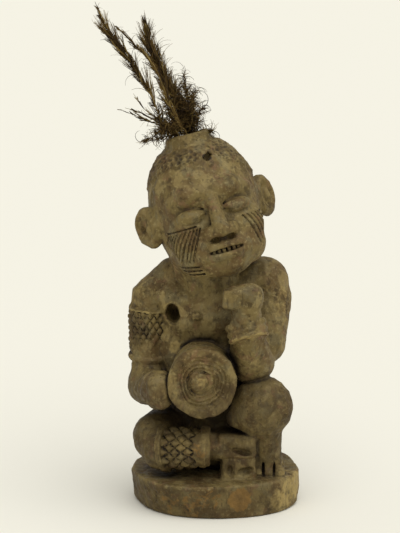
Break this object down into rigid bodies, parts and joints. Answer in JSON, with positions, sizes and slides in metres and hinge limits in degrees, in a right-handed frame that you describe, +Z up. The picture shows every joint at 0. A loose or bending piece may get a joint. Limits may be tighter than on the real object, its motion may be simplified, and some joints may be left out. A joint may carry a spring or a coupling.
{
  "type": "nkisi figure",
  "caption": "Carved wooden seated figure on an oval plinth, head tilted, fist under the chin, holding a drum, with a tuft of dark feathers in a socket in its crown.",
  "frame": {"origin": "middle of the plinth's underside", "axes": "+Z up through the figure; the figure faces -Y; +X is the figure's left"},
  "size_m": [0.1056, 0.0819, 0.2627],
  "materials": {
    "wood": "handled dark patina with dusty hollows and worn ochre edges",
    "feather": "dry dark barbs"
  },
  "bodies": {
    "root": {"carved_figure": "wood", "feather_tall_left": "feather", "feather_tall_right": "feather", "feather_crossing": "feather", "feather_short_upper": "feather", "feather_short_middle": "feather", "feather_short_lower": "feather"}
  },
  "joints": []
}
